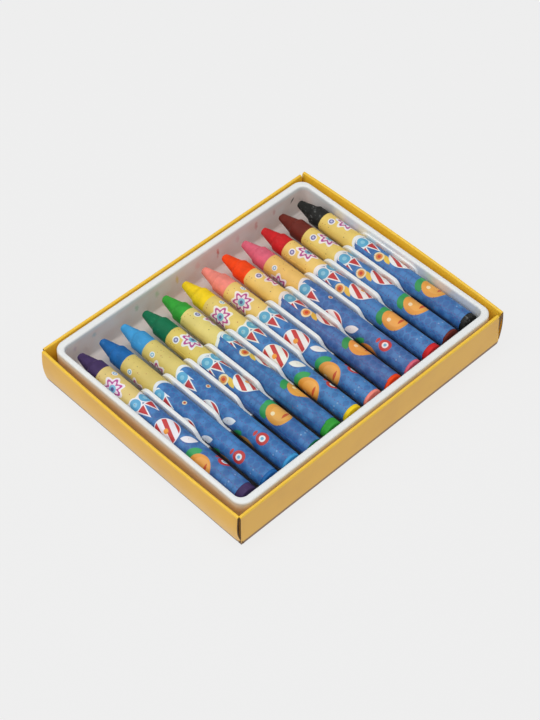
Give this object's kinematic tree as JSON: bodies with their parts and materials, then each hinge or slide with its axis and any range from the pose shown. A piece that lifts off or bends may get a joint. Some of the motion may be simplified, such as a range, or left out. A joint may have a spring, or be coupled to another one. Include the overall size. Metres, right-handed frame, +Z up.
{
  "type": "oil pastel set",
  "caption": "Round paper-wrapped oil pastels with blunt cone tips, lying side by side between the fins of a white formed insert in an open yellow card tray.",
  "frame": {"origin": "centre of the tray's underside, on the surface it stands on", "axes": "+X across the sticks from purple to black, +Y towards the tips, +Z up out of the tray"},
  "size_m": [0.1374, 0.1064, 0.0165],
  "materials": {
    "printed_card": "coated yellow board, satin",
    "formed_sheet": "white thermoformed sheet, semi-matt",
    "label_paper": "printed label paper, semi-matt",
    "purple_pastel": "moulded oil pastel, waxy satin",
    "blue_pastel": "moulded oil pastel, waxy satin",
    "light_blue_pastel": "moulded oil pastel, waxy satin",
    "dark_green_pastel": "moulded oil pastel, waxy satin",
    "green_pastel": "moulded oil pastel, waxy satin",
    "yellow_pastel": "moulded oil pastel, waxy satin",
    "salmon_pastel": "moulded oil pastel, waxy satin",
    "orange_pastel": "moulded oil pastel, waxy satin",
    "pink_pastel": "moulded oil pastel, waxy satin",
    "red_pastel": "moulded oil pastel, waxy satin",
    "brown_pastel": "moulded oil pastel, waxy satin",
    "black_pastel": "moulded oil pastel, waxy satin"
  },
  "bodies": {
    "card_tray": {"card_tray": "printed_card"},
    "insert": {"insert_tray": "formed_sheet"},
    "purple_pastel": {"purple_stick": "purple_pastel", "purple_wrapper": "label_paper"},
    "blue_pastel": {"blue_stick": "blue_pastel", "blue_wrapper": "label_paper"},
    "light_blue_pastel": {"light_blue_stick": "light_blue_pastel", "light_blue_wrapper": "label_paper"},
    "dark_green_pastel": {"dark_green_stick": "dark_green_pastel", "dark_green_wrapper": "label_paper"},
    "green_pastel": {"green_stick": "green_pastel", "green_wrapper": "label_paper"},
    "yellow_pastel": {"yellow_stick": "yellow_pastel", "yellow_wrapper": "label_paper"},
    "salmon_pastel": {"salmon_stick": "salmon_pastel", "salmon_wrapper": "label_paper"},
    "orange_pastel": {"orange_stick": "orange_pastel", "orange_wrapper": "label_paper"},
    "pink_pastel": {"pink_stick": "pink_pastel", "pink_wrapper": "label_paper"},
    "red_pastel": {"red_stick": "red_pastel", "red_wrapper": "label_paper"},
    "brown_pastel": {"brown_stick": "brown_pastel", "brown_wrapper": "label_paper"},
    "black_pastel": {"black_stick": "black_pastel", "black_wrapper": "label_paper"}
  },
  "joints": [
    {"name": "insert_lift", "type": "slide", "parent": "card_tray", "child": "insert", "axis": [0, 0, 1], "range_m": [0, 0.02]},
    {"name": "purple_lift", "type": "slide", "parent": "insert", "child": "purple_pastel", "axis": [0, 0, 1], "range_m": [0, 0.015]},
    {"name": "blue_lift", "type": "slide", "parent": "insert", "child": "blue_pastel", "axis": [0, 0, 1], "range_m": [0, 0.015]},
    {"name": "light_blue_lift", "type": "slide", "parent": "insert", "child": "light_blue_pastel", "axis": [0, 0, 1], "range_m": [0, 0.015]},
    {"name": "dark_green_lift", "type": "slide", "parent": "insert", "child": "dark_green_pastel", "axis": [0, 0, 1], "range_m": [0, 0.015]},
    {"name": "green_lift", "type": "slide", "parent": "insert", "child": "green_pastel", "axis": [0, 0, 1], "range_m": [0, 0.015]},
    {"name": "yellow_lift", "type": "slide", "parent": "insert", "child": "yellow_pastel", "axis": [0, 0, 1], "range_m": [0, 0.015]},
    {"name": "salmon_lift", "type": "slide", "parent": "insert", "child": "salmon_pastel", "axis": [0, 0, 1], "range_m": [0, 0.015]},
    {"name": "orange_lift", "type": "slide", "parent": "insert", "child": "orange_pastel", "axis": [0, 0, 1], "range_m": [0, 0.015]},
    {"name": "pink_lift", "type": "slide", "parent": "insert", "child": "pink_pastel", "axis": [0, 0, 1], "range_m": [0, 0.015]},
    {"name": "red_lift", "type": "slide", "parent": "insert", "child": "red_pastel", "axis": [0, 0, 1], "range_m": [0, 0.015]},
    {"name": "brown_lift", "type": "slide", "parent": "insert", "child": "brown_pastel", "axis": [0, 0, 1], "range_m": [0, 0.015]},
    {"name": "black_lift", "type": "slide", "parent": "insert", "child": "black_pastel", "axis": [0, 0, 1], "range_m": [0, 0.015]}
  ]
}
